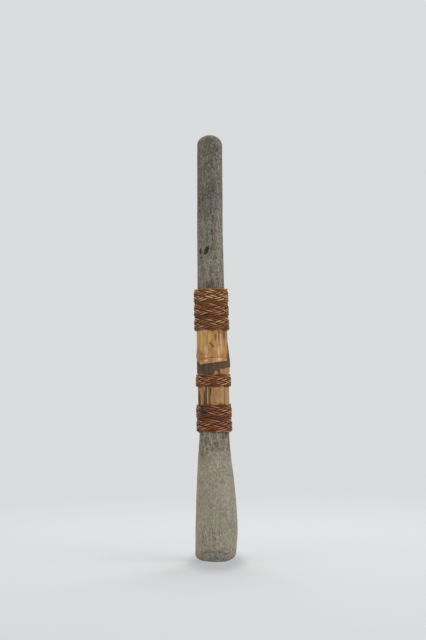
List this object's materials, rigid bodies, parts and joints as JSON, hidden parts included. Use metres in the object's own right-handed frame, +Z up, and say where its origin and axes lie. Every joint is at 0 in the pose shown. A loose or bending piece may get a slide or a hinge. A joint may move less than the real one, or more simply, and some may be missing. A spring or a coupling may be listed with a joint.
{
  "type": "stone pestle",
  "caption": "Long stone pestle with a domed butt and a flared pounding head, its grip bound with bark, split bamboo and plaited rattan bands.",
  "frame": {"origin": "centre of the box of the standing pestle, on the flat of its pounding face", "axes": "+Z up along the pestle to its domed butt, +X to the right as the grip's bamboo plate faces the viewer, -Y to the front"},
  "size_m": [0.0446, 0.0428, 0.449],
  "materials": {
    "stone": "pecked and hand-worn, matt",
    "bark": "dry dark bark, fibrous",
    "bamboo": "aged bamboo skin, satin",
    "rattan": "aged split rattan, half gloss"
  },
  "bodies": {
    "root": {"stone_body": "stone", "bark_wrap": "bark", "bamboo_plate_front": "bamboo", "bamboo_plate_back": "bamboo", "bamboo_strip_a": "bamboo", "bamboo_strip_b": "bamboo", "bamboo_strip_c": "bamboo", "bamboo_strip_d": "bamboo", "bamboo_strip_e": "bamboo", "bamboo_strip_f": "bamboo", "bamboo_strip_g": "bamboo", "upper_band_1": "rattan", "upper_band_2": "rattan", "upper_band_3": "rattan", "middle_band": "rattan", "lower_band_1": "rattan", "lower_band_2": "rattan"}
  },
  "joints": []
}
